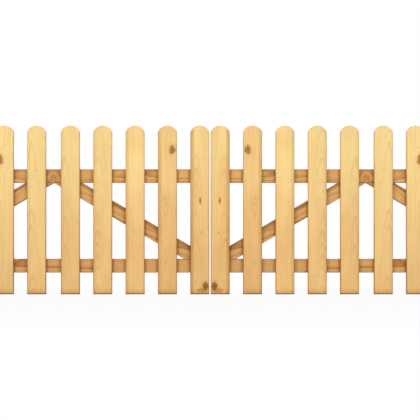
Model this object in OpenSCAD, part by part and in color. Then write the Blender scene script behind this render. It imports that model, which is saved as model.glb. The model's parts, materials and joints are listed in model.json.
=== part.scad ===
// Wooden double gate: two picket leaves hung by strap hinges from two square posts.
// Millimetres, +Z up, +X from the left post to the right one; the pickets face -Y.
// The origin is the middle of the left post's foot, at ground level.

/* [Opening] */
// Clear width between the two posts
opening_w = 3000; // [2400:10:3600]
// Gap between a post and the leaf that hangs on it
hinge_gap = 18; // [12:1:30]
// Gap between the two shut leaves
meeting_gap = 7; // [7:0.5:20]
// Height of the pickets' feet above the ground
ground_gap = 50; // [40:5:120]

/* [Pickets] */
// Number of pickets on a leaf, half of them on each side of its middle gap
picket_count = 10; // [8:2:12]
// Height of a picket
picket_h = 800; // [660:10:1200]
// Width of a picket
picket_w = 90; // [78:1:114]
// Thickness of a picket
picket_t = 20; // [16:1:24]
// Rise of the rounded head above the picket's shoulders
head_rise = 30; // [20:1:38]
// Gap between the two middle pickets of a leaf
middle_gap = 70; // [50:1:85]
// Radius along the front edges
picket_front_r = 7; // [2:0.5:8]
// Radius along the back edges
picket_back_r = 2; // [1:0.5:4]
// Bevel along the foot, front and back
foot_bevel = 5; // [1:0.5:6]

/* [Rails and braces] */
// Height of a rail's section
rail_w = 65; // [52:1:85]
// Thickness of the rails and braces
rail_t = 28; // [22:1:40]
// Radius along the edges of the rails and braces
rail_r = 4; // [1:0.5:6]
// Height of the bottom rail's underside above the pickets' feet
bottom_rail_h = 102; // [60:1:150]
// Height of the top rail's underside above the pickets' feet
top_rail_h = 529; // [430:1:650]
// Distance from a rail's end to the side of its leaf
rail_inset = 5; // [0:1:20]
// Width of a brace, square to its length
brace_w = 68; // [55:1:90]
// Length of a brace's seat on the bottom rail
brace_foot = 114; // [80:1:160]

/* [Posts] */
// Width and depth of a post
post_w = 90; // [75:1:120]
// Height of a post above the ground
post_h = 900; // [750:10:1300]
// Rise of the sloping top, within the post's height
post_top_rise = 22; // [5:1:40]
// Radius along the post's upright edges
post_r = 4; // [2:0.5:8]

/* [Hinge straps] */
// Length of a strap, from the pin's axis to the round tip
strap_l = 300; // [240:5:400]
// Height of a strap and its eye
strap_w = 35; // [30:1:50]
// Thickness of a strap
strap_t = 4; // [3:0.5:6]
// Wall of the eye round the pin
eye_wall = 4.5; // [3.5:0.5:7]
// Number of screw holes in a strap
strap_holes = 5; // [3:1:6]
// Diameter of the screw holes in straps and plates
screw_hole_d = 7; // [5:0.5:9]

/* [Hinge pintles] */
// Diameter of the hinge pin
pin_d = 13; // [10:0.5:16]
// Play between the pin and the eye, on the radius
pin_play = 0.1; // [0.05:0.05:0.8]
// Distance from the post's side to the pin's axis
pin_offset = 12; // [9:1:20]
// Width of the plate on the post
plate_w = 42; // [36:1:55]
// Height of the plate
plate_h = 110; // [90:5:150]
// Thickness of the plate
plate_t = 5; // [4:0.5:8]
// Distance from the plate to the edge of the post
plate_inset = 10; // [5:1:20]
// Height of the arm that carries the pin
arm_h = 16; // [12:1:25]
// Thickness of the arm at the pin
arm_t = 12; // [8:0.5:14]
// Play between the arm and the eye that turns on it
eye_lift = 0.5; // [0.3:0.1:1]

/* [Hidden] */
$fn = 64;

leaf_w = (opening_w - 2 * hinge_gap - meeting_gap) / 2;
leaf_x = post_w / 2 + hinge_gap;
leaf_mid = leaf_x + leaf_w / 2;
gate_mid = (post_w + opening_w) / 2;
picket_gap = (leaf_w - picket_count * picket_w - middle_gap) / (picket_count - 2);
head_r = (pow(picket_w / 2, 2) + pow(head_rise, 2)) / (2 * head_rise);

// The backs of the rails lie in one plane with the backs of the posts.
back_y = post_w / 2;
rail_y = back_y - rail_t;
picket_y = rail_y - picket_t;

rail_l = leaf_w - 2 * rail_inset;
brace_z = ground_gap + bottom_rail_h + rail_w;
brace_rise = ground_gap + top_rail_h - brace_z;
brace_run = rail_l / 2 - brace_foot;
brace_angle = atan2(brace_rise, brace_run);
brace_l = norm([brace_rise, brace_run]);

eye_bore_r = pin_d / 2 + pin_play;
eye_r = eye_bore_r + eye_wall;
pin_x = post_w / 2 + pin_offset;
pin_y = back_y + eye_r;
pin_over = 5;
pin_bevel = 1.5;
collar_r = pin_d / 2 + 3.5;
strap_root = 3;
hole_pitch = (strap_l - 2 * strap_w) / (strap_holes - 1);
plate_x = post_w / 2 - plate_inset - plate_w;

levels = ["bottom", "top"];
function rail_z(level) = ground_gap + (level == "top" ? top_rail_h : bottom_rail_h);
function eye_z(level) = rail_z(level) + (rail_w - strap_w) / 2;
function picket_x(i) = leaf_x + (i - 1) * (picket_w + picket_gap)
    + (i > picket_count / 2 ? middle_gap - picket_gap : 0);

sides = ["left", "right"];
side_names = [
    "post",
    for (i = [1:picket_count]) str("picket_", i),
    for (level = levels) each [str(level, "_rail"), str(level, "_strap"), str(level, "_pintle")],
    "hinge_brace", "meeting_brace"
];

// Everything is drawn for the left side; the right side is its mirror image.
module on_side(side) {
    if (side == "left") children();
    else translate([2 * gate_mid, 0, 0]) mirror([1, 0, 0]) children();
}

// A rectangle whose front and back corners have their own radii.
module board_outline(w, t, front_r, back_r) {
    translate([front_r, 0]) square([w - 2 * front_r, 2 * front_r]);
    translate([0, front_r]) square([w, t - front_r - back_r]);
    translate([back_r, t - 2 * back_r]) square([w - 2 * back_r, 2 * back_r]);
    for (x = [front_r, w - front_r]) translate([x, front_r]) circle(r = front_r);
    for (x = [back_r, w - back_r]) translate([x, t - back_r]) circle(r = back_r);
}

// A rounded bar along +X, with its underside on z = 0 and its front on y = 0.
module bar(length, w) {
    rotate([90, 0, 90]) linear_extrude(height = length) board_outline(rail_t, w, rail_r, rail_r);
}

// The part of a picket's outline below the centre of its head, bevelled at the foot.
module picket_shaft() {
    rotate([90, 0, 90]) linear_extrude(height = picket_w)
        polygon([
            [foot_bevel, 0], [picket_t - foot_bevel, 0], [picket_t, foot_bevel],
            [picket_t, picket_h - head_r], [0, picket_h - head_r], [0, foot_bevel]
        ]);
}

// A disc as thick as a picket, with the picket's edges turned round its rim.
module head_disc() {
    rotate([-90, 0, 0]) rotate_extrude()
        intersection() {
            translate([-head_r, 0])
                board_outline(2 * head_r, picket_t, picket_front_r, picket_back_r);
            square([head_r, picket_t]);
        }
}

module picket() {
    color("burlywood") intersection() {
        linear_extrude(height = picket_h)
            board_outline(picket_w, picket_t, picket_front_r, picket_back_r);
        union() {
            picket_shaft();
            translate([picket_w / 2, 0, picket_h - head_r]) head_disc();
        }
    }
}

module rail(level) {
    color("peru") translate([leaf_x + rail_inset, rail_y, rail_z(level)]) bar(rail_l, rail_w);
}

// Runs down from the middle of the top rail to the meeting end of the bottom rail.
module meeting_brace() {
    color("sandybrown") intersection() {
        translate([leaf_mid, rail_y, brace_z + brace_rise]) rotate([0, brace_angle, 0])
            translate([-brace_w, 0, 0]) bar(brace_l + 3 * brace_w, brace_w);
        translate([leaf_mid - 1, rail_y - 1, brace_z])
            cube([rail_l / 2 + 1, rail_t + 2, brace_rise]);
    }
}

// The meeting brace's mirror image in the middle of the leaf.
module hinge_brace() {
    translate([2 * leaf_mid, 0, 0]) mirror([1, 0, 0]) meeting_brace();
}

module strap(level) {
    color("silver") translate([pin_x, 0, eye_z(level)]) difference() {
        union() {
            translate([0, pin_y, 0]) cylinder(h = strap_w, r = eye_r);
            translate([0, back_y + strap_t, 0]) rotate([90, 0, 0])
                linear_extrude(height = strap_t) {
                    translate([strap_root, 0])
                        square([strap_l - strap_w / 2 - strap_root, strap_w]);
                    translate([strap_l - strap_w / 2, strap_w / 2]) circle(d = strap_w);
                }
        }
        translate([0, pin_y, -1]) cylinder(h = strap_w + 2, r = eye_bore_r);
        for (i = [0:strap_holes - 1])
            translate([1.5 * strap_w + i * hole_pitch, back_y - 1, strap_w / 2])
                rotate([-90, 0, 0]) cylinder(h = strap_t + 2, d = screw_hole_d);
    }
}

module pintle(level) {
    arm_z = eye_z(level) - eye_lift - arm_h;
    pin_h = arm_h + eye_lift + strap_w + pin_over;
    color("gray") translate([0, 0, arm_z]) difference() {
        union() {
            translate([plate_x, back_y, (arm_h - plate_h) / 2]) cube([plate_w, plate_t, plate_h]);
            translate([plate_x + plate_w / 2, back_y + plate_t - 1, 0])
                cube([pin_x - plate_x - plate_w / 2, pin_y + arm_t / 2 - back_y - plate_t + 1, arm_h]);
            translate([pin_x, pin_y, 0]) rotate_extrude() polygon([
                [0, 0], [collar_r, 0], [collar_r, arm_h], [pin_d / 2, arm_h],
                [pin_d / 2, pin_h - pin_bevel], [pin_d / 2 - pin_bevel, pin_h], [0, pin_h]
            ]);
        }
        for (x = [-plate_w / 4, plate_w / 4], z = [-plate_h * 0.36, plate_h * 0.36])
            translate([plate_x + plate_w / 2 + x, back_y - 1, arm_h / 2 + z])
                rotate([-90, 0, 0]) cylinder(h = plate_t + 2, d = screw_hole_d);
    }
}

module post() {
    top = [
        [-post_w, 0], [post_w, 0], [post_w, post_h - 2 * post_top_rise],
        [0, post_h], [-post_w, post_h - 2 * post_top_rise]
    ];
    color("tan") intersection() {
        translate([-post_w / 2, -post_w / 2, 0]) linear_extrude(height = post_h)
            board_outline(post_w, post_w, post_r, post_r);
        translate([-post_w, 0, 0]) rotate([90, 0, 90]) linear_extrude(height = 2 * post_w)
            polygon(top);
        translate([0, post_w, 0]) rotate([90, 0, 0]) linear_extrude(height = 2 * post_w)
            polygon(top);
    }
}

for (side = sides) {
    on_side(side) post();
    for (i = [1:picket_count])
        on_side(side) translate([picket_x(i), picket_y, ground_gap]) picket();
    for (level = levels) {
        on_side(side) rail(level);
        on_side(side) strap(level);
        on_side(side) pintle(level);
    }
    on_side(side) hinge_brace();
    on_side(side) meeting_brace();
}
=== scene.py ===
"""Wooden double gate: pine and steel finishes, screws, welds and a plain studio.

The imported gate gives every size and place. This script adds what the solids leave out, and
its sizes and colours are in the property groups below.
"""

import json
import math
import random

import bmesh
import bpy
from bpy.props import FloatProperty, FloatVectorProperty, IntProperty, PointerProperty
from mathutils import Matrix, Vector

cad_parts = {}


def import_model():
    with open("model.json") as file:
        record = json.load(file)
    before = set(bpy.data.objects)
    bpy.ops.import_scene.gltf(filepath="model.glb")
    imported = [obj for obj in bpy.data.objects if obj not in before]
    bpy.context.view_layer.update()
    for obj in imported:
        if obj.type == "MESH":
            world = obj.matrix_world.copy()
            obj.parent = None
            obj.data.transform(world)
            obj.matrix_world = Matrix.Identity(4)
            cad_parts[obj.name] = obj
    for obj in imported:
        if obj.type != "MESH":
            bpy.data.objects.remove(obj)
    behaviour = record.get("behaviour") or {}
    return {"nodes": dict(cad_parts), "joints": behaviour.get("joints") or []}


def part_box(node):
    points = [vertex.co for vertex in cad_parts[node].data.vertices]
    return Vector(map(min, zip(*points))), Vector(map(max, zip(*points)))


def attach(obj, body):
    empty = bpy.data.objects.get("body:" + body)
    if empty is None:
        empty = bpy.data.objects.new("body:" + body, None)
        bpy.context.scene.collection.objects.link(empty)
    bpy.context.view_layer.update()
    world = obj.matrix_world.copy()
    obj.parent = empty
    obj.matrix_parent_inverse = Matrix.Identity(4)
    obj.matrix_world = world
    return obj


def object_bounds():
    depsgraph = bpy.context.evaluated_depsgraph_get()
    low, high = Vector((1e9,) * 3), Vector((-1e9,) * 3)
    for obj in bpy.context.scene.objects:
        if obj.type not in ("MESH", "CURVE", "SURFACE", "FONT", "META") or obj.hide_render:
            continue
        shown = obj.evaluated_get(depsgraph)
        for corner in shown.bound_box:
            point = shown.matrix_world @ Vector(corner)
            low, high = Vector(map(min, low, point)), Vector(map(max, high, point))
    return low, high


bl_info = {
    "name": "Wooden Double Gate",
    "version": (1, 0, 0),
    "blender": (4, 5, 0),
    "location": "3D View > Sidebar > Gate",
    "description": "Pine, galvanised steel, screws and a plain studio for a picket gate",
    "category": "Object",
}

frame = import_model()
CAD_BOX = [list(corner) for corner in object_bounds()]
SIDES = ("left", "right")
LEVELS = ("bottom", "top")
PICKETS = len([n for n in frame["nodes"] if n.startswith("left_picket_")])
GATE_MID = (CAD_BOX[0][0] + CAD_BOX[1][0]) / 2
WHITE = (1.0, 1.0, 1.0)

# How fine each noise in the wood is, per metre: across, deep into and along a board.
SWAY = (9.0, 9.0, 3.2)
RIPPLE = (60.0, 60.0, 9.0)
FIBRES = (620.0, 620.0, 11.0)
CLOUDS = (17.0, 17.0, 3.0)
FLECKS = (140.0, 140.0, 22.0)
PATCHES = (7.0, 7.0, 3.6)
KNOT_EDGE = (90.0, 20.0, 60.0)

# How much of its own tone each mark puts over the wood, from 0 to 1.
FLECK_COVER = 0.18
HEAD_COVER = 0.35
FOOT_COVER = 0.90
STAIN_COVER = 0.40
KNOT_COVER = 0.80
RIM_COVER = 0.85
HEART_COVER = 0.90
CRACK_COVER = 0.85

# Each picket's knots, by its number from the hinges on: across towards the meeting side,
# height above the foot, half width, half height and how dark the knot is.
KNOTS = 4
NO_KNOT = (9.0, 9.0, 0.01, 0.01, 0.0)
PICKET_KNOTS = {
    1: [(0.013, 0.212, 0.008, 0.012, 0.5)],
    3: [(-0.020, 0.318, 0.011, 0.014, 0.7)],
    4: [(-0.022, 0.637, 0.015, 0.021, 1.0)],
    5: [(-0.002, 0.586, 0.0022, 0.0030, 0.45)],
    9: [(0.0230, 0.687, 0.0125, 0.0180, 1.0), (-0.012, 0.455, 0.003, 0.004, 0.2)],
    10: [
        (0.0026, 0.443, 0.0040, 0.0115, 1.0),
        (0.0280, 0.038, 0.0120, 0.0180, 1.25),
        (0.0120, 0.020, 0.0210, 0.0085, 0.5),
        (0.008, 0.294, 0.0022, 0.004, 0.8),
    ],
}
RAIL_KNOT = (0.003, 0.0, 0.012, 0.014, 0.45)
POST_KNOT = (0.02, 0.61, 0.012, 0.015, 0.8)
# How much heartwood a picket shows and how much painted shade darkens its hinge side, from the hinges
# on.
PICKET_TAN = (0.3, 0.15, 0.55, 0.0, 0.05, 0.15, 0.25, 0.45, 0.75, 0.6)
PICKET_SIDE_SHADE = (0.3, 0.6, 0.2, 0.2, 0.3, 0.35, 0.4, 0.6, 0.85, 1.0)
# How much the band darkens along the top edges of the rails and braces.
RAIL_BAND = 0.15
BRACE_BAND = 1.0

# How strongly the painted shade darkens the corners between boards, from 0 to 1, and how far from them
# it reaches, m.
PICKET_SHADE = 0.3
FRAME_SHADE = 0.5
POST_SHADE = 0.5
CORNER_REACH = 0.028
# Rounding that shows on sharp edges and the depth of the surfaces' relief, m.
WOOD_ROUND = 0.0012
ZINC_ROUND = 0.0008
GRAIN_DEPTH = 0.00025
ZINC_DEPTH = 0.0003

# Screw heads and weld beads: sides round them, depth of a head below the face, length of
# brace that a screw needs behind a picket and length of a bead's ripple steps, m.
HEAD_SIDES = 20
BEAD_SIDES = 10
HEAD_SINK = 0.0004
LEAST_WOOD = 0.025
BEAD_STEP = 0.0011
SHARP_FROM = 35  # degrees between faces
FLOOR_HALF = 30  # m
SENSOR_WIDTH = 36  # mm


def tint(red, green, blue):
    """A colour as it looks on a screen, 0 to 255, in the linear values that shaders use."""

    def linear(c):
        c /= 255
        return c / 12.92 if c <= 0.04045 else ((c + 0.055) / 1.055) ** 2.4

    return (linear(red), linear(green), linear(blue))


def colour(name, description, default):
    return FloatVectorProperty(
        name=name, description=description, default=default, subtype="COLOR", min=0, max=1
    )


def length(name, description, default):
    return FloatProperty(
        name=name, description=description, default=default, min=0, unit="LENGTH", precision=4
    )


class GateTimber(bpy.types.PropertyGroup):
    """Colours and grain of the pine, and the tints of its painted shade."""

    picket_pale: colour("Picket early wood", "Pale wood of the pickets", tint(241, 212, 141))
    picket_tan: colour("Picket tan", "Tint of the pickets with more heartwood", tint(247, 232, 224))
    picket_dark: colour("Picket late wood", "Ring lines of the pickets", tint(232, 197, 126))
    frame_pale: colour("Frame early wood", "Pale wood of rails and braces", tint(216, 165, 99))
    frame_dark: colour("Frame late wood", "Ring lines of rails and braces", tint(172, 114, 56))
    post_pale: colour("Post early wood", "Pale wood of the posts", tint(238, 200, 134))
    post_dark: colour("Post late wood", "Ring lines of the posts", tint(212, 158, 92))
    end_tone: colour("End grain", "Tone of wood cut across its length", tint(142, 92, 46))
    # Painted shade: the two edge tints darken the boards' rounded edges, pickets and posts with the
    # first, rails and braces with the second.
    edge_shade_tone: colour("Edges", "Tint of the pickets' rounded edges", tint(206, 170, 132))
    frame_edge_shade: colour("Frame edges", "Tint of the rails' and braces' edges", tint(192, 152, 112))
    # End grain of the feet, darkened further as painted shade on their downward bevels.
    foot_end_grain_and_shade: colour("Foot end", "Damp end grain of the pickets' feet", tint(92, 58, 30))
    # Painted shade: this tint darkens a band along each picket's hinge side.
    band_tone: colour("Band", "Tint of the sapwood along a picket's hinge side", tint(224, 214, 188))
    frame_band: colour("Frame band", "Tint along the top edges of rails and braces", tint(200, 180, 148))
    # Painted shade: this tint darkens the corners where boards meet, and it also colours the grain's
    # dark flecks.
    fleck_and_corner_shade_tone: colour("Corners", "Tint of the dirt where boards meet", tint(164, 140, 108))
    # Painted shade: this tint darkens and warms the pickets towards their feet.
    foot_shade_tone: colour("Foot", "Warmer tint towards the pickets' feet", tint(249, 235, 233))
    # This tint darkens the pickets within 35 mm above their feet.
    above_foot_tone: colour("Damp", "Tint of the wood just above the feet", tint(232, 214, 200))
    knot_tone: colour("Knot", "Wood of the knots", tint(182, 132, 54))
    knot_stain: colour("Knot stain", "Resin in the wood round a knot", tint(198, 128, 70))
    knot_rim: colour("Knot rim", "Bark ring and heart of the knots", tint(122, 72, 6))
    picket_ring: length("Picket ring width", "Width of a year's growth", 0.0026)
    frame_ring: length("Frame ring width", "Width of a year's growth", 0.0110)
    post_ring: length("Post ring width", "Width of a year's growth", 0.0055)


class GateSteel(bpy.types.PropertyGroup):
    """Colours and sizes of the hinges' steel and of the screws."""

    zinc: colour("Zinc", "Galvanised hinges", tint(178, 182, 184))
    zinc_bloom: colour("Zinc bloom", "Dull white bloom on the zinc", tint(206, 208, 207))
    stainless: colour("Stainless", "Screws", tint(190, 188, 184))
    timber_head: length("Timber screw", "Radius of a screw head in the wood", 0.0041)
    strap_head: length("Strap screw", "Radius of a screw head on a strap or plate", 0.0062)
    head_rise: length("Head rise", "How far a screw head stands up", 0.0014)
    weld: length("Weld", "Radius of the weld bead on a pintle", 0.0022)
    screw_spread: length("Screw spread", "From a picket's middle to its screws", 0.021)


class GateLayout(bpy.types.PropertyGroup):
    """Sizes of the solids that their boxes don't tell."""

    brace_seat: length("Brace seat", "Length of a brace's seat on the bottom rail", 0.114)
    brace_width: length("Brace width", "Width of a brace, square to its length", 0.068)
    strap_length: length("Strap length", "From the pin's axis to the strap's tip", 0.300)
    strap_width: length("Strap width", "Height of a strap", 0.035)
    strap_thickness: length("Strap thickness", "Thickness of a strap", 0.004)
    strap_holes: IntProperty(name="Strap holes", description="Screws in a strap", default=5)
    plate_width: length("Plate width", "Width of a pintle's plate", 0.042)
    plate_height: length("Plate height", "Height of a pintle's plate", 0.110)
    plate_thickness: length("Plate thickness", "Thickness of a pintle's plate", 0.005)
    arm_height: length("Arm height", "Height of a pintle's arm", 0.016)


class GateStudio(bpy.types.PropertyGroup):
    """The floor, the light and the camera."""

    floor_tone: colour("Floor", "The plain floor", tint(242, 242, 240))
    distance: length("Camera distance", "From the camera to the pickets", 5.53)
    lens: FloatProperty(name="Lens", description="Focal length, mm", default=100, min=20)
    lamp_height: length("Lamp height", "Height of the lamps", 2.5)
    lamp_distance: length("Lamp distance", "From the lamps to the pickets", 2.4)
    lamp_spread: length("Lamp spread", "From the gate's middle to each front lamp", 1.7)
    lamp_size: length("Lamp size", "Side of a front lamp", 0.7)
    lamp_power: FloatProperty(name="Lamp power", description="Each front lamp, W", default=45, min=0)
    back_power: FloatProperty(name="Back lamp", description="Lamp behind, W", default=52, min=0)
    fill: FloatProperty(name="Fill", description="Light from all round", default=0.40, min=0)


class Steps:
    """Adds shader nodes to a tree one step at a time and returns their outputs."""

    def __init__(self, tree):
        self.tree = tree

    def node(self, kind, inputs=(), **settings):
        made = self.tree.nodes.new(kind)
        for name, value in settings.items():
            setattr(made, name, value)
        for name, value in dict(inputs).items():
            self.feed(made.inputs[name], value)
        return made

    def feed(self, socket, value):
        if isinstance(value, bpy.types.NodeSocket):
            self.tree.links.new(value, socket)
        elif socket.type == "RGBA" and len(value) == 3:
            socket.default_value = (*value, 1)
        else:
            socket.default_value = value

    def math(self, operation, *values):
        made = self.node("ShaderNodeMath", operation=operation)
        for socket, value in zip(made.inputs, values):
            self.feed(socket, value)
        return made.outputs[0]

    def vector(self, operation, *values):
        made = self.node("ShaderNodeVectorMath", operation=operation)
        sockets = [s for s in made.inputs if s.name != "Scale"]
        for socket, value in zip(sockets, values):
            self.feed(socket, value)
        return made.outputs["Value" if operation == "LENGTH" else "Vector"]

    def split(self, vector):
        return self.node("ShaderNodeSeparateXYZ", {"Vector": vector}).outputs[:]

    def join(self, x, y, z):
        return self.node("ShaderNodeCombineXYZ", {"X": x, "Y": y, "Z": z}).outputs[0]

    def step(self, value, low, high, to_low=0.0, to_high=1.0):
        return self.node(
            "ShaderNodeMapRange",
            {0: value, 1: low, 2: high, 3: to_low, 4: to_high},
            interpolation_type="SMOOTHSTEP",
        ).outputs[0]

    def noise(self, vector, scale, detail=2.0, rough=0.5, colour=False):
        made = self.node(
            "ShaderNodeTexNoise",
            {"Vector": vector, "Scale": scale, "Detail": detail, "Roughness": rough},
        )
        return made.outputs["Color" if colour else "Fac"]

    def mix(self, amount, first, second, blend="MIX"):
        made = self.node("ShaderNodeMix", data_type="RGBA", blend_type=blend)
        for socket, value in ((0, amount), (6, first), (7, second)):
            self.feed(made.inputs[socket], value)
        return made.outputs[2]

    def own(self, name):
        """A value that each board holds as a property of its own."""
        return self.node("ShaderNodeAttribute", attribute_type="OBJECT", attribute_name=name)


def shader_group(name, inputs, outputs):
    """An empty node group with its sockets; returns its steps, its inputs and its end node."""
    tree = bpy.data.node_groups.new(name, "ShaderNodeTree")
    for way, sockets in (("INPUT", inputs), ("OUTPUT", outputs)):
        for label, kind in sockets:
            tree.interface.new_socket(label, in_out=way, socket_type="NodeSocket" + kind)
    start, end = tree.nodes.new("NodeGroupInput"), tree.nodes.new("NodeGroupOutput")
    return Steps(tree), {s.name: s for s in start.outputs if s.name}, end


def fresh_material(name):
    """A new material, its shader and the steps that build it."""
    material = bpy.data.materials.new(name)
    material.use_nodes = True
    shader = material.node_tree.nodes["Principled BSDF"]
    return material, shader, Steps(material.node_tree)


def seen_directly(do):
    """1 where the eye, gloss or glass looks, so that the ground round the gate is white."""
    path = do.node("ShaderNodeLightPath").outputs
    seen = do.math("MAXIMUM", path["Is Camera Ray"], path["Is Glossy Ray"])
    return do.math("MAXIMUM", seen, path["Is Transmission Ray"])


def board_place_group():
    """Turns a point of the gate into a board's own across, depth and along."""
    do, given, end = shader_group(
        "board place",
        [("Point", "Vector"), ("Start", "Vector"), ("Turn", "Float"), ("Flip", "Float")],
        [("Place", "Vector")],
    )
    x, y, z = do.split(do.vector("SUBTRACT", given["Point"], given["Start"]))
    flat = do.join(do.math("MULTIPLY", x, given["Flip"]), y, z)
    turned = do.node(
        "ShaderNodeVectorRotate",
        {"Vector": flat, "Angle": given["Turn"]},
        rotation_type="Y_AXIS",
    )
    do.feed(end.inputs["Place"], turned.outputs[0])


def growth_group():
    """Year rings round a pith that lies behind the board, with fine fibres."""
    do, given, end = shader_group(
        "growth rings",
        [("Place", "Vector"), ("Seed", "Float"), ("Ring Width", "Float"), ("Bend", "Float")],
        [
            ("Late Wood", "Float"), ("Season", "Float"), ("Fibre", "Float"), ("Cloud", "Float"),
            ("Dark Flecks", "Float"), ("Pale Flecks", "Float"), ("Patch", "Float"),
        ],
    )
    place, seed = given["Place"], given["Seed"]
    first = do.node("ShaderNodeTexWhiteNoise", {"W": seed}, noise_dimensions="1D")
    other = do.math("ADD", seed, 7.31)
    second = do.node("ShaderNodeTexWhiteNoise", {"W": other}, noise_dimensions="1D")
    aside, behind, lean = do.split(first.outputs["Color"])
    turn, wave, _ = do.split(second.outputs["Color"])
    shift = do.join(seed, do.math("MULTIPLY", seed, 1.7), do.math("MULTIPLY", seed, 3.1))
    moved = do.vector("ADD", place, shift)
    slow = do.noise(do.vector("MULTIPLY", moved, SWAY), 1.0, 2.0, 0.5, True)
    sway_x, sway_y, sway_u = do.split(do.vector("SUBTRACT", slow, (0.5, 0.5, 0.5)))
    across, depth, along = do.split(place)
    # The pith leans against the board, so that its rings come up as pointed arches.
    lean_y = do.step(lean, 0.0, 1.0, -0.045, 0.045)
    lean_x = do.step(turn, 0.0, 1.0, -0.012, 0.012)
    swing = do.step(wave, 0.0, 1.0, 0.010, 0.026)
    px = do.math("ADD", do.step(aside, 0.0, 1.0, -0.022, 0.022), do.math("MULTIPLY", along, lean_x))
    py = do.math("ADD", do.step(behind, 0.0, 1.0, 0.046, 0.078), do.math("MULTIPLY", along, lean_y))
    dx = do.math("ADD", do.math("SUBTRACT", across, px), do.math("MULTIPLY", sway_x, swing))
    dy = do.math("ADD", do.math("SUBTRACT", depth, py), do.math("MULTIPLY", sway_y, swing))
    radius = do.vector("LENGTH", do.join(dx, dy, 0.0))
    rings = do.math("ADD", do.math("DIVIDE", radius, given["Ring Width"]), given["Bend"])
    ripple = do.noise(do.vector("MULTIPLY", moved, RIPPLE), 1.0, 2.0)
    rings = do.math("ADD", rings, do.math("MULTIPLY", do.math("SUBTRACT", ripple, 0.5), 0.35))
    rings = do.math("ADD", rings, do.math("MULTIPLY", sway_u, 1.4))
    part = do.math("FRACT", rings)
    late = do.math("MULTIPLY", do.step(part, 0.30, 0.90), do.step(part, 0.93, 1.0, 1.0, 0.0))
    years = do.node(
        "ShaderNodeTexNoise",
        {"W": do.math("ADD", do.math("MULTIPLY", rings, 0.45), seed), "Scale": 1.0, "Detail": 1.0},
        noise_dimensions="1D",
    )
    season = do.step(years.outputs["Fac"], 0.3, 0.7)
    fibre = do.noise(do.vector("MULTIPLY", moved, FIBRES), 1.0, 3.0, 0.6)
    cloud = do.noise(do.vector("MULTIPLY", moved, CLOUDS), 1.0, 2.0)
    flecks = do.noise(do.vector("MULTIPLY", moved, FLECKS), 1.0, 3.0, 0.65)
    patch = do.noise(do.vector("MULTIPLY", moved, PATCHES), 1.0, 2.0)
    outputs = {
        "Late Wood": late, "Season": season, "Fibre": fibre, "Cloud": cloud,
        "Dark Flecks": do.step(flecks, 0.57, 0.72), "Pale Flecks": do.step(flecks, 0.42, 0.28),
        "Patch": patch,
    }
    for name, value in outputs.items():
        do.feed(end.inputs[name], value)


def knot_group():
    """One knot: its wood, rim, heart and the stain round it, and how far it bends the rings."""
    do, given, end = shader_group(
        "knot",
        [
            ("Place", "Vector"), ("Spot", "Vector"), ("Half Length", "Float"),
            ("Shade", "Float"), ("Ring Width", "Float"),
        ],
        [
            ("Wood", "Float"), ("Rim", "Float"), ("Heart", "Float"), ("Stain", "Float"),
            ("Bend", "Float"),
        ],
    )
    across, _, along = do.split(given["Place"])
    spot_x, spot_z, half = do.split(given["Spot"])
    ragged = do.noise(do.vector("MULTIPLY", given["Place"], KNOT_EDGE), 1.0, 2.0, 0.5, True)
    rag_x, rag_z, _ = do.split(do.vector("SUBTRACT", ragged, (0.5, 0.5, 0.5)))
    dx = do.math("DIVIDE", do.math("SUBTRACT", across, spot_x), half)
    dz = do.math("DIVIDE", do.math("SUBTRACT", along, spot_z), given["Half Length"])
    far = do.vector("LENGTH", do.join(dx, dz, 0.0))
    rough_x = do.math("ADD", dx, do.math("MULTIPLY", rag_x, 1.2))
    rough_z = do.math("ADD", dz, do.math("MULTIPLY", rag_z, 1.2))
    ragged_far = do.vector("LENGTH", do.join(rough_x, rough_z, 0.0))
    wood = do.step(ragged_far, 0.80, 1.0, 1.0, 0.0)
    rim = do.math("MULTIPLY", do.step(ragged_far, 0.62, 0.92), do.step(ragged_far, 0.98, 1.2, 1.0, 0.0))
    ring = do.math("FRACT", do.math("MULTIPLY", ragged_far, 3.2))
    ring = do.math("MULTIPLY", do.step(ring, 0.4, 0.9), wood)
    rim = do.math("MULTIPLY", do.math("MAXIMUM", rim, do.math("MULTIPLY", ring, 0.30)), given["Shade"])
    core = do.math("MULTIPLY", given["Shade"], 0.75)
    heart = do.math("MULTIPLY", do.step(ragged_far, core, 0.1), given["Shade"])
    wood = do.math("MULTIPLY", wood, do.math("ADD", do.math("MULTIPLY", given["Shade"], 0.6), 0.4))
    stain = do.math("MULTIPLY", do.step(ragged_far, 0.9, 2.3, 1.0, 0.0), given["Shade"])
    size = do.math("MULTIPLY", do.math("DIVIDE", half, given["Ring Width"]), 1.1)
    fall = do.math("MULTIPLY", do.math("MULTIPLY", far, far), -0.33)
    bend = do.math("MULTIPLY", do.math("EXPONENT", fall), size)
    outputs = {"Wood": wood, "Rim": rim, "Heart": heart, "Stain": stain, "Bend": bend}
    for name, value in outputs.items():
        do.feed(end.inputs[name], value)


def faces_group():
    """Which way a face looks from its board: its head, its foot or the rounded edges."""
    do, given, end = shader_group(
        "faces",
        [("Normal", "Vector"), ("Turn", "Float"), ("Flip", "Float")],
        [("Head", "Float"), ("Foot", "Float"), ("Edge", "Float")],
    )
    x, y, z = do.split(given["Normal"])
    turned = do.node(
        "ShaderNodeVectorRotate",
        {"Vector": do.join(do.math("MULTIPLY", x, given["Flip"]), y, z), "Angle": given["Turn"]},
        rotation_type="Y_AXIS",
    )
    across, _, along = do.split(turned.outputs[0])
    do.feed(end.inputs["Head"], do.step(along, 0.25, 0.95))
    do.feed(end.inputs["Foot"], do.step(along, -0.20, -0.70))
    do.feed(end.inputs["Edge"], do.step(do.math("ABSOLUTE", across), 0.20, 0.90))


def put_group(do, name, inputs):
    """Places a shader group in a material and feeds it."""
    return do.node("ShaderNodeGroup", inputs, node_tree=bpy.data.node_groups[name])


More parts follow.
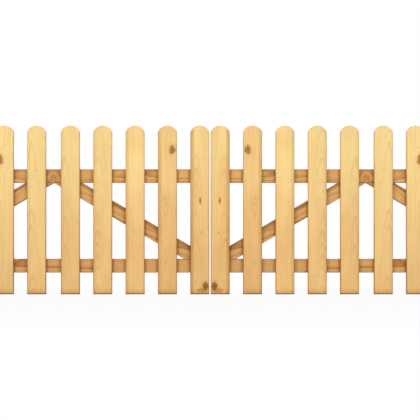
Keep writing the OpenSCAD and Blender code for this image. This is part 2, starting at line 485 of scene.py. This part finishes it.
def pine(
    name, pale, dark, ring_width, edge, band_tone, foot=None, gloss=0.5, check=False, shade=0.5
):
    """Planed pine: each board gives its own start, turn, seed and knots as properties."""
    timber = bpy.context.scene.gate_timber
    material, shader, do = fresh_material(name)
    coordinates = do.node("ShaderNodeTexCoord")
    turn, flip = do.own("board_turn").outputs["Fac"], do.own("board_flip").outputs["Fac"]
    seed = do.own("board_seed").outputs["Fac"]
    place = put_group(
        do,
        "board place",
        {
            "Point": coordinates.outputs["Object"],
            "Start": do.own("board_start").outputs["Vector"],
            "Turn": turn,
            "Flip": flip,
        },
    ).outputs["Place"]
    knots = []
    for number in range(1, KNOTS + 1):
        spot, knot_shade = do.own(f"knot_{number}"), do.own(f"knot_shade_{number}").outputs["Fac"]
        knots.append(
            put_group(
                do,
                "knot",
                {
                    "Place": place,
                    "Spot": spot.outputs["Vector"],
                    "Half Length": spot.outputs["Alpha"],
                    "Shade": knot_shade,
                    "Ring Width": ring_width,
                },
            )
        )

    def together(operation, output):
        value = knots[0].outputs[output]
        for knot in knots[1:]:
            value = do.math(operation, value, knot.outputs[output])
        return value

    def strongest(output):
        return together("MAXIMUM", output)

    bend = together("ADD", "Bend")
    growth = put_group(
        do, "growth rings", {"Place": place, "Seed": seed, "Ring Width": ring_width, "Bend": bend}
    ).outputs
    faces = put_group(
        do, "faces", {"Normal": coordinates.outputs["Normal"], "Turn": turn, "Flip": flip}
    ).outputs
    cut = do.math("MAXIMUM", faces["Head"], faces["Foot"])
    height = do.split(place)[2]

    late = do.math("MULTIPLY", growth["Late Wood"], do.step(growth["Season"], 0.0, 1.0, 0.15, 1.0))
    tone = do.mix(late, pale, dark)
    patchy = do.step(growth["Patch"], 0.3, 0.7, -0.3, 0.3)
    tan = do.math("ADD", do.own("board_tan").outputs["Fac"], patchy)
    tone = do.mix(tan, tone, timber.picket_tan, "MULTIPLY")
    # Painted shade: the rounded edges that face sideways are darkened in the colour; on the pickets this
    # grows towards the feet.
    painted_edge_shade = faces["Edge"]
    if foot is not None:
        # Painted shade: the pickets darken and warm towards their feet.
        tone = do.mix(do.step(height, 0.85, 0.0), tone, foot, "MULTIPLY")
        # The last 35 mm above the feet are darker still.
        tone = do.mix(do.step(height, 0.035, 0.0), tone, timber.above_foot_tone, "MULTIPLY")
        painted_edge_shade = do.math("MULTIPLY", painted_edge_shade, do.step(height, 0.0, 0.9, 1.0, 0.35))
    tone = do.mix(painted_edge_shade, tone, edge, "MULTIPLY")
    # The band starts at a picket's hinge side, where it is painted shade, or the top edge of a rail or
    # brace, which it darkens.
    inside = do.math("ADD", do.split(place)[0], do.own("board_half").outputs["Fac"])
    uneven = do.step(growth["Cloud"], 0.25, 0.7, 0.5, 1.1)
    band = do.math("MULTIPLY", do.step(inside, 0.020, 0.011), uneven)
    band = do.math("MULTIPLY", band, do.own("board_band").outputs["Fac"])
    tone = do.mix(band, tone, band_tone, "MULTIPLY")
    # Each row: what varies, its range, and how light the wood is at either end of it.
    character = do.node("ShaderNodeTexWhiteNoise", {"W": seed}, noise_dimensions="1D")
    light = 1.0
    for value, low, high, at_low, at_high in (
        (character.outputs["Value"], 0.0, 1.0, 0.975, 1.015),
        (growth["Cloud"], 0.25, 0.75, 0.95, 1.04),
        (growth["Fibre"], 0.2, 0.8, 0.96, 1.03),
        (growth["Pale Flecks"], 0.0, 1.0, 1.0, 1.03),
    ):
        light = do.math("MULTIPLY", light, do.step(value, low, high, at_low, at_high))
    tone = do.mix(1.0, tone, do.join(light, light, light), "MULTIPLY")
    for mask, cover, mark, blend in (
        (growth["Dark Flecks"], FLECK_COVER, timber.fleck_and_corner_shade_tone, "MULTIPLY"),
        (faces["Head"], HEAD_COVER, timber.end_tone, "MIX"),
        # The feet's end grain is darkened further as painted shade.
        (faces["Foot"], FOOT_COVER, timber.end_tone if foot is None else timber.foot_end_grain_and_shade, "MIX"),
        (strongest("Stain"), STAIN_COVER, timber.knot_stain, "MIX"),
        (strongest("Wood"), KNOT_COVER, timber.knot_tone, "MIX"),
        (strongest("Rim"), RIM_COVER, timber.knot_rim, "MIX"),
        (strongest("Heart"), HEART_COVER, timber.knot_rim, "MIX"),
    ):
        tone = do.mix(do.math("MULTIPLY", mask, cover), tone, mark, blend)

    relief = do.math("MULTIPLY", growth["Late Wood"], 0.45)
    relief = do.math("ADD", relief, do.math("MULTIPLY", growth["Fibre"], 0.5))
    relief = do.math("SUBTRACT", relief, do.math("MULTIPLY", strongest("Rim"), 0.5))
    if check:
        crack = drying_check(do, place, seed)
        tone = do.mix(do.math("MULTIPLY", crack, CRACK_COVER), tone, timber.knot_rim)
        relief = do.math("SUBTRACT", relief, do.math("MULTIPLY", crack, 4.0))
    # Painted shade: ambient occlusion darkens the colour where boards meet, standing in for the shade in
    # those corners.
    corner = do.node("ShaderNodeAmbientOcclusion", {"Distance": CORNER_REACH}, samples=8)
    painted_corner_shade = do.step(corner.outputs["AO"], 0.40, 0.98, shade, 0.0)
    tone = do.mix(painted_corner_shade, tone, timber.fleck_and_corner_shade_tone, "MULTIPLY")
    soft = do.node("ShaderNodeBevel", {"Radius": WOOD_ROUND}, samples=4)
    bump = do.node(
        "ShaderNodeBump",
        {"Height": relief, "Normal": soft.outputs[0], "Distance": GRAIN_DEPTH, "Strength": 0.6},
    )
    rough = do.math("SUBTRACT", gloss + 0.08, do.math("MULTIPLY", growth["Late Wood"], 0.10))
    rough = do.math("ADD", rough, do.math("MULTIPLY", do.math("SUBTRACT", growth["Fibre"], 0.5), 0.12))
    rough = do.math("ADD", rough, do.math("MULTIPLY", cut, 0.2))
    do.feed(shader.inputs["Base Color"], tone)
    do.feed(shader.inputs["Roughness"], rough)
    do.feed(shader.inputs["Normal"], bump.outputs[0])
    shader.inputs["Specular IOR Level"].default_value = 0.35
    return material


def drying_check(do, place, seed):
    """A thin crack that opens and closes along a post."""
    across, _, along = do.split(place)
    drift = do.noise(do.join(do.math("MULTIPLY", along, 2.5), seed, 0.0), 1.0, 3.0)
    drift = do.math("MULTIPLY", do.math("SUBTRACT", drift, 0.5), 0.03)
    line = do.math("ABSOLUTE", do.math("SUBTRACT", do.math("SUBTRACT", across, drift), 0.006))
    open_ = do.noise(do.join(seed, do.math("MULTIPLY", along, 3.0), 4.0), 1.0, 1.0)
    width = do.step(open_, 0.48, 0.75, 0.0, 0.0011)
    thin = do.math("DIVIDE", line, do.math("MAXIMUM", width, 0.00002))
    opened = do.step(width, 0.00005, 0.0003)
    return do.math("MULTIPLY", do.step(thin, 0.5, 1.0, 1.0, 0.0), opened)


def galvanised(name):
    """Hot-dipped zinc: crystals of slightly different greys, with a dull bloom."""
    steel = bpy.context.scene.gate_steel
    material, shader, do = fresh_material(name)
    point = do.node("ShaderNodeTexCoord").outputs["Object"]
    wander = do.vector("MULTIPLY", do.noise(point, 90.0, 2.0, 0.5, True), (0.004,) * 3)
    warp = do.vector("ADD", point, wander)
    crystal = do.node("ShaderNodeTexVoronoi", {"Vector": warp, "Scale": 150.0})
    grey = do.split(crystal.outputs["Color"])[0]
    bloom = do.step(do.noise(point, 24.0, 4.0, 0.6), 0.45, 0.72)
    light = do.step(grey, 0.0, 1.0, 0.84, 1.06)
    tone = do.mix(1.0, steel.zinc, do.join(light, light, light), "MULTIPLY")
    tone = do.mix(do.math("MULTIPLY", bloom, 0.55), tone, steel.zinc_bloom)
    rough = do.math("ADD", do.step(grey, 0.0, 1.0, 0.34, 0.48), do.math("MULTIPLY", bloom, 0.16))
    lumps = do.math("ADD", do.noise(point, 260.0, 3.0), do.math("MULTIPLY", grey, 0.25))
    soft = do.node("ShaderNodeBevel", {"Radius": ZINC_ROUND}, samples=4)
    bump = do.node(
        "ShaderNodeBump",
        {"Height": lumps, "Normal": soft.outputs[0], "Distance": ZINC_DEPTH, "Strength": 0.5},
    )
    do.feed(shader.inputs["Base Color"], tone)
    do.feed(shader.inputs["Roughness"], rough)
    do.feed(shader.inputs["Normal"], bump.outputs[0])
    do.feed(shader.inputs["Metallic"], do.math("SUBTRACT", 0.92, do.math("MULTIPLY", bloom, 0.3)))
    return material


def stainless(name):
    """Turned screw heads with fine scuffs."""
    steel = bpy.context.scene.gate_steel
    material, shader, do = fresh_material(name)
    point = do.node("ShaderNodeTexCoord").outputs["Object"]
    scuff = do.noise(point, 700.0, 3.0, 0.6)
    tone = do.mix(do.step(scuff, 0.3, 0.8, 0.0, 0.35), steel.stainless, steel.zinc)
    do.feed(shader.inputs["Base Color"], tone)
    do.feed(shader.inputs["Roughness"], do.step(scuff, 0.2, 0.8, 0.26, 0.42))
    bump = do.node("ShaderNodeBump", {"Height": scuff, "Distance": 0.0001, "Strength": 0.4})
    do.feed(shader.inputs["Normal"], bump.outputs[0])
    shader.inputs["Metallic"].default_value = 1.0
    return material


def settle(board, start, turn, flip, seed, knots=(), tan=0.0, band=0.0, half=None):
    """Gives a board the properties that its pine reads; half is from its start to its edge."""
    board["board_start"] = [float(v) for v in start]
    board["board_turn"] = float(turn)
    board["board_flip"] = float(flip)
    board["board_seed"] = float(seed)
    board["board_tan"] = float(tan)
    board["board_band"] = float(band)
    low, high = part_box(board.name)
    board["board_half"] = (high.x - low.x) / 2 if half is None else half
    listed = [*knots, *[NO_KNOT] * KNOTS][:KNOTS]
    for number, knot in enumerate(listed, 1):
        board[f"knot_{number}"] = [float(v) for v in knot[:4]]
        board[f"knot_shade_{number}"] = float(knot[4])


def dress(node, material):
    """Puts a material on a CAD node."""
    board = frame["nodes"][node]
    if not board.data.materials:
        board.data.materials.append(material)
    for slot in board.material_slots:
        slot.link = "OBJECT"
        slot.material = material
    return board


def flip_of(side):
    return 1 if side == "left" else -1


class GATE_OT_node_groups(bpy.types.Operator):
    """Make the wood's shader groups: place, growth rings, knot and faces"""

    bl_idname = "gate.node_groups"
    bl_label = "Make shader groups"

    def execute(self, context):
        board_place_group()
        growth_group()
        knot_group()
        faces_group()
        return {"FINISHED"}


class GATE_OT_pickets(bpy.types.Operator):
    """Finish the pickets in pale pine"""

    bl_idname = "gate.pickets"
    bl_label = "Finish pickets"

    def execute(self, context):
        t = context.scene.gate_timber
        wood = pine(
            "pine_pickets", t.picket_pale, t.picket_dark, t.picket_ring, t.edge_shade_tone, t.band_tone,
            foot=t.foot_shade_tone, shade=PICKET_SHADE,
        )
        for side in SIDES:
            for number in range(1, PICKETS + 1):
                board = dress(f"{side}_picket_{number}", wood)
                low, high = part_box(board.name)
                start = ((low.x + high.x) / 2, low.y, low.z)
                knots = PICKET_KNOTS.get(number, ())
                tan = PICKET_TAN[(number - 1) % len(PICKET_TAN)]
                band = PICKET_SIDE_SHADE[(number - 1) % len(PICKET_SIDE_SHADE)]
                settle(board, start, 0, flip_of(side), 3.7 * number + 1, knots, tan, band)
        return {"FINISHED"}


class GATE_OT_frame(bpy.types.Operator):
    """Finish the rails and braces in darker pine"""

    bl_idname = "gate.frame"
    bl_label = "Finish rails and braces"

    def execute(self, context):
        t, layout = context.scene.gate_timber, context.scene.gate_layout
        wood = pine(
            "pine_frame", t.frame_pale, t.frame_dark, t.frame_ring, t.frame_edge_shade, t.frame_band,
            gloss=0.55, shade=FRAME_SHADE,
        )
        for side in SIDES:
            for level in LEVELS:
                board = dress(f"{side}_{level}_rail", wood)
                low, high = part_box(board.name)
                start = ((low.x + high.x) / 2, low.y, (low.z + high.z) / 2)
                knots = [RAIL_KNOT] if level == "top" else ()
                half = (high.z - low.z) / 2
                settle(
                    board, start, -math.pi / 2, flip_of(side), 41 + len(level), knots,
                    band=RAIL_BAND, half=half,
                )
            for kind, way in (("meeting", 1), ("hinge", -1)):
                board = dress(f"{side}_{kind}_brace", wood)
                low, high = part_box(board.name)
                slope = math.atan2(high.z - low.z, high.x - low.x - layout.brace_seat)
                start = ((low.x + high.x) / 2, low.y, (low.z + high.z) / 2)
                turn = -math.pi / 2 - way * slope
                above = (high.x - low.x) / 2 * math.sin(slope) - (high.z - low.z) / 2 * math.cos(slope)
                half = layout.brace_width - above
                settle(board, start, turn, flip_of(side), 57 + way * 3, band=BRACE_BAND, half=half)
        return {"FINISHED"}


class GATE_OT_posts(bpy.types.Operator):
    """Finish the posts in pine with a drying check"""

    bl_idname = "gate.posts"
    bl_label = "Finish posts"

    def execute(self, context):
        t = context.scene.gate_timber
        wood = pine(
            "pine_posts", t.post_pale, t.post_dark, t.post_ring, t.edge_shade_tone, t.band_tone,
            gloss=0.58, check=True, shade=POST_SHADE,
        )
        for side in SIDES:
            board = dress(f"{side}_post", wood)
            low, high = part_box(board.name)
            start = ((low.x + high.x) / 2, (low.y + high.y) / 2 - 0.04, low.z)
            settle(board, start, 0, flip_of(side), 83, [POST_KNOT])
        return {"FINISHED"}


class GATE_OT_hinges(bpy.types.Operator):
    """Finish the straps and pintles in galvanised steel"""

    bl_idname = "gate.hinges"
    bl_label = "Finish hinges"

    def execute(self, context):
        zinc = galvanised("galvanised_steel")
        for side in SIDES:
            for level in LEVELS:
                for kind in ("strap", "pintle"):
                    dress(f"{side}_{level}_{kind}", zinc)
        return {"FINISHED"}


def screw_head(bm, centre, radius, rise, turn):
    """A low domed head with a cross recess, facing +Y."""

    def ring(r, h, count=HEAD_SIDES):
        return [
            bm.verts.new(centre + Vector((r * math.cos(a), h, r * math.sin(a))))
            for a in (turn + 2 * math.pi * i / count for i in range(count))
        ]

    rings = [
        ring(radius, -HEAD_SINK), ring(radius, rise * 0.2), ring(radius * 0.93, rise * 0.5),
        ring(radius * 0.8, rise * 0.8), ring(radius * 0.62, rise),
    ]
    for outer, inner in zip(rings, rings[1:]):
        for i, vert in enumerate(outer):
            j = (i + 1) % len(outer)
            bm.faces.new((vert, inner[i], inner[j], outer[j]))
    arm, half = radius * 0.5, radius * 0.13
    corners = []
    for quarter in range(4):
        for x, z in ((half, half), (half, arm), (-half, arm)):
            a = turn + quarter * math.pi / 2
            corners.append(
                (x * math.cos(a) - z * math.sin(a), x * math.sin(a) + z * math.cos(a))
            )
    lip = [bm.verts.new(centre + Vector((x, rise, z))) for x, z in corners]
    floor = [bm.verts.new(centre + Vector((x * 0.8, rise * 0.1, z * 0.8))) for x, z in corners]
    edges = []
    for loop in (rings[-1], lip):
        for i, vert in enumerate(loop):
            pair = (vert, loop[(i + 1) % len(loop)])
            edges.append(bm.edges.get(pair) or bm.edges.new(pair))
    bmesh.ops.triangle_fill(bm, edges=edges, use_beauty=True)
    for i, vert in enumerate(lip):
        j = (i + 1) % len(lip)
        bm.faces.new((vert, lip[j], floor[j], floor[i]))
    bm.faces.new(floor)


def piece_from(bm, name, body, material):
    """Turns a bmesh into a piece that rides on a body."""
    bmesh.ops.recalc_face_normals(bm, faces=bm.faces)
    mesh = bpy.data.meshes.new(name)
    bm.to_mesh(mesh)
    bm.free()
    piece = bpy.data.objects.new(name, mesh)
    bpy.context.scene.collection.objects.link(piece)
    mesh.materials.append(material)
    mesh.shade_smooth()
    mesh.set_sharp_from_angle(angle=math.radians(SHARP_FROM))
    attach(piece, body)
    return piece


def screws(name, body, spots, radius):
    """One piece that holds every screw head of a group."""
    chance = random.Random(name)
    rise = bpy.context.scene.gate_steel.head_rise
    bm = bmesh.new()
    for spot in spots:
        screw_head(bm, Vector(spot), radius, rise, chance.uniform(0, math.pi / 2))
    steel = bpy.data.materials.get("stainless_screws") or stainless("stainless_screws")
    return piece_from(bm, name, body, steel)


def mid_x(node):
    low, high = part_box(node)
    return (low.x + high.x) / 2


class GATE_OT_timber_screws(bpy.types.Operator):
    """Screws from the back, through the rails and braces into the pickets"""

    bl_idname = "gate.timber_screws"
    bl_label = "Add timber screws"

    def execute(self, context):
        steel, layout = context.scene.gate_steel, context.scene.gate_layout
        for side in SIDES:
            spots = []
            way = flip_of(side)
            for level in LEVELS:
                low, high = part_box(f"{side}_{level}_rail")
                z, up = (low.z + high.z) / 2, steel.screw_spread + 0.001
                for number in range(1, PICKETS + 1):
                    x = mid_x(f"{side}_picket_{number}")
                    for sign in (-1, 1):
                        spots.append((x + way * sign * steel.screw_spread, high.y, z + sign * up))
            for kind in ("meeting", "hinge"):
                low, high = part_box(f"{side}_{kind}_brace")
                slope = (high.z - low.z) / (high.x - low.x - layout.brace_seat)
                thick = layout.brace_width * math.hypot(1, slope)
                apex = low.x if (kind == "meeting") == (side == "left") else high.x
                for number in range(1, PICKETS + 1):
                    x = mid_x(f"{side}_picket_{number}")
                    if low.x < x < high.x:
                        inner = high.z - abs(x - apex) * slope
                        bottom, top = max(low.z, inner), min(high.z, inner + thick)
                        if top - bottom > LEAST_WOOD:
                            spots.append((x, high.y, (bottom + top) / 2))
            screws(f"{side}_timber_screws", f"{side}_leaf", spots, steel.timber_head)
        return {"FINISHED"}


class GATE_OT_strap_screws(bpy.types.Operator):
    """Screws in the straps' holes"""

    bl_idname = "gate.strap_screws"
    bl_label = "Add strap screws"

    def execute(self, context):
        steel, layout = context.scene.gate_steel, context.scene.gate_layout
        pitch = (layout.strap_length - 2 * layout.strap_width) / (layout.strap_holes - 1)
        for side in SIDES:
            way = flip_of(side)
            joint = next(j for j in frame["joints"] if j["name"] == f"{side}_swing")
            spots = []
            for level in LEVELS:
                low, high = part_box(f"{side}_{level}_strap")
                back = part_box(f"{side}_{level}_rail")[1].y + layout.strap_thickness
                for i in range(layout.strap_holes):
                    x = joint["pos_m"][0] + way * (1.5 * layout.strap_width + i * pitch)
                    spots.append((x, back, (low.z + high.z) / 2))
            screws(f"{side}_strap_screws", f"{side}_leaf", spots, steel.strap_head)
        return {"FINISHED"}


def plate_middle(side, level):
    """The middle of a pintle plate's outer face."""
    layout = bpy.context.scene.gate_layout
    low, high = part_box(f"{side}_{level}_pintle")
    half = layout.plate_width / 2
    x = low.x + half if side == "left" else high.x - half
    return Vector((x, low.y + layout.plate_thickness, low.z + layout.plate_height / 2))


class GATE_OT_plate_screws(bpy.types.Operator):
    """Screws in the pintles' plates"""

    bl_idname = "gate.plate_screws"
    bl_label = "Add plate screws"

    def execute(self, context):
        steel, layout = context.scene.gate_steel, context.scene.gate_layout
        for side in SIDES:
            spots = []
            for level in LEVELS:
                middle = plate_middle(side, level)
                for x in (-0.25, 0.25):
                    for z in (-0.36, 0.36):
                        step = Vector((x * layout.plate_width, 0, z * layout.plate_height))
                        spots.append(middle + step)
            screws(f"{side}_plate_screws", "posts", spots, steel.strap_head * 0.85)
        return {"FINISHED"}


class GATE_OT_welds(bpy.types.Operator):
    """Weld beads where the pintles' arms meet their plates"""

    bl_idname = "gate.welds"
    bl_label = "Add welds"

    def execute(self, context):
        steel, layout = context.scene.gate_steel, context.scene.gate_layout
        zinc = bpy.data.materials["galvanised_steel"]
        for side in SIDES:
            bm = bmesh.new()
            for level in LEVELS:
                middle, way = plate_middle(side, level), flip_of(side)
                half, reach = layout.arm_height / 2, layout.plate_width / 2
                corners = [(reach, half), (0, half), (0, -half), (reach, -half)]
                path = [middle + Vector((way * x, 0, z)) for x, z in corners]
                bead(bm, path, steel.weld, f"{side}{level}")
            piece_from(bm, f"{side}_welds", "posts", zinc)
        return {"FINISHED"}


def bead(bm, path, radius, seed):
    """A rippled bead along straight stretches, half sunk in the plate."""
    chance = random.Random(seed)
    points = []
    for a, b in zip(path, path[1:]):
        count = max(2, round((b - a).length / BEAD_STEP))
        points += [(a.lerp(b, i / count), (b - a).normalized()) for i in range(count)]
    points.append((path[-1], (path[-1] - path[-2]).normalized()))
    rings = []
    for i, (point, way) in enumerate(points):
        near = points[max(0, i - 1)][1] + way
        way = near.normalized() if near.length > 1e-6 else way
        out = Vector((0, 1, 0))
        side = way.cross(out).normalized()
        swell = radius * (1 + 0.16 * math.sin(i * math.pi / 2.2) + chance.uniform(-0.05, 0.05))
        if i in (0, len(points) - 1):
            swell *= 0.55
        ring = []
        for k in range(BEAD_SIDES):
            a = 2 * math.pi * k / BEAD_SIDES
            ring.append(bm.verts.new(point + swell * (math.cos(a) * side + math.sin(a) * out)))
        rings.append(ring)
    for one, two in zip(rings, rings[1:]):
        for k in range(BEAD_SIDES):
            j = (k + 1) % BEAD_SIDES
            bm.faces.new((one[k], one[j], two[j], two[k]))
    bm.faces.new(rings[0])
    bm.faces.new(rings[-1])


class GATE_OT_studio(bpy.types.Operator):
    """Add the floor, the lamps, the world and the camera"""

    bl_idname = "gate.studio"
    bl_label = "Set up studio"

    def execute(self, context):
        studio, scene = context.scene.gate_studio, context.scene
        scene.view_settings.view_transform = "Standard"
        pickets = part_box("left_picket_1")
        front, middle = pickets[0].y, (pickets[0].z + pickets[1].z) / 2
        floor(studio)
        world(studio, scene)
        for side in SIDES:
            aside = -studio.lamp_spread * flip_of(side)
            lamp(
                f"{side}_lamp",
                (GATE_MID + aside, front - studio.lamp_distance, studio.lamp_height),
                (GATE_MID + aside / 2, front, middle + 0.1),
                studio.lamp_size,
                studio.lamp_power,
            )
        lamp(
            "back_lamp",
            (GATE_MID, front + studio.lamp_distance, studio.lamp_height),
            (GATE_MID, front, middle + 0.1),
            studio.lamp_size * 3,
            studio.back_power,
        )
        camera = bpy.data.objects.new("camera", bpy.data.cameras.new("camera"))
        camera.data.lens = studio.lens
        camera.data.sensor_width = SENSOR_WIDTH
        camera.data.clip_end = 100
        camera.location = (GATE_MID, front - studio.distance, middle)
        camera.rotation_euler = (math.pi / 2, 0, 0)
        scene.collection.objects.link(camera)
        scene.camera = camera
        return {"FINISHED"}


def floor(studio):
    """A wide pale floor that shows white to the camera but keeps the gate's shadow."""
    mesh = bpy.data.meshes.new("studio_floor")
    half = FLOOR_HALF
    corners = [(-half, -half), (half, -half), (half, half), (-half, half)]
    mesh.from_pydata([(GATE_MID + x, y, 0) for x, y in corners], [], [(0, 1, 2, 3)])
    ground = bpy.data.objects.new("studio_floor", mesh)
    bpy.context.scene.collection.objects.link(ground)
    material, shader, do = fresh_material("studio_floor")
    material.node_tree.nodes.remove(shader)
    end = material.node_tree.nodes["Material Output"]
    point = do.node("ShaderNodeTexCoord").outputs["Object"]
    half_gate = (CAD_BOX[1][0] - CAD_BOX[0][0]) / 2
    speck = do.noise(point, 3.0, 3.0)
    tone = do.mix(do.step(speck, 0.3, 0.7, 0.0, 0.06), studio.floor_tone, WHITE)
    matt = do.node("ShaderNodeBsdfDiffuse", {"Color": tone})
    glow = do.node("ShaderNodeEmission", {"Color": WHITE, "Strength": 1.0})
    x, y, _ = do.split(do.vector("SUBTRACT", point, (GATE_MID, 0.0, 0.0)))
    beside = do.math("MAXIMUM", do.math("SUBTRACT", do.math("ABSOLUTE", x), half_gate), 0.0)
    far = do.step(do.vector("LENGTH", do.join(beside, y, 0.0)), 0.9, 2.2, 0.88, 1.0)
    blend = do.node("ShaderNodeMixShader", {0: do.math("MULTIPLY", seen_directly(do), far)})
    do.feed(blend.inputs[1], matt.outputs[0])
    do.feed(blend.inputs[2], glow.outputs[0])
    do.feed(end.inputs["Surface"], blend.outputs[0])
    mesh.materials.append(material)


def world(studio, scene):
    """White all round for the eye and for gloss, and an even fill for the light."""
    scene.world = bpy.data.worlds.new("studio")
    scene.world.use_nodes = True
    tree = scene.world.node_tree
    do = Steps(tree)
    fill = tree.nodes["Background"]
    fill.inputs["Color"].default_value = (*WHITE, 1)
    fill.inputs["Strength"].default_value = studio.fill
    white = do.node("ShaderNodeBackground", {"Color": WHITE, "Strength": 1.0})
    blend = do.node("ShaderNodeMixShader", {0: seen_directly(do)})
    do.feed(blend.inputs[1], fill.outputs[0])
    do.feed(blend.inputs[2], white.outputs[0])
    do.feed(tree.nodes["World Output"].inputs["Surface"], blend.outputs[0])


def lamp(name, place, target, size, power):
    """A square lamp that points at its target."""
    data = bpy.data.lights.new(name, "AREA")
    data.shape, data.size, data.energy = "SQUARE", size, power
    made = bpy.data.objects.new(name, data)
    made.location = place
    made.rotation_euler = (Vector(target) - Vector(place)).to_track_quat("-Z", "Y").to_euler()
    bpy.context.scene.collection.objects.link(made)


STEPS = (
    GATE_OT_node_groups, GATE_OT_pickets, GATE_OT_frame, GATE_OT_posts, GATE_OT_hinges,
    GATE_OT_timber_screws, GATE_OT_strap_screws, GATE_OT_plate_screws, GATE_OT_welds,
    GATE_OT_studio,
)
GROUPS = {
    "gate_timber": GateTimber,
    "gate_steel": GateSteel,
    "gate_layout": GateLayout,
    "gate_studio": GateStudio,
}


class GATE_PT_sidebar(bpy.types.Panel):
    """Lists the gate's sizes, colours and steps"""

    bl_idname = "GATE_PT_sidebar"
    bl_label = "Wooden gate"
    bl_space_type = "VIEW_3D"
    bl_region_type = "UI"
    bl_category = "Gate"

    def draw(self, context):
        for name, kind in GROUPS.items():
            box = self.layout.box()
            for setting in kind.__annotations__:
                box.prop(getattr(context.scene, name), setting)
        for step in STEPS:
            self.layout.operator(step.bl_idname)


def register():
    for kind in (*GROUPS.values(), *STEPS, GATE_PT_sidebar):
        bpy.utils.register_class(kind)
    for name, kind in GROUPS.items():
        setattr(bpy.types.Scene, name, PointerProperty(type=kind))


def unregister():
    for name in GROUPS:
        delattr(bpy.types.Scene, name)
    for kind in reversed((*GROUPS.values(), *STEPS, GATE_PT_sidebar)):
        bpy.utils.unregister_class(kind)


def main():
    register()
    for step in STEPS:
        group, call = step.bl_idname.split(".")
        getattr(getattr(bpy.ops, group), call)()


if __name__ == "__main__":
    main()
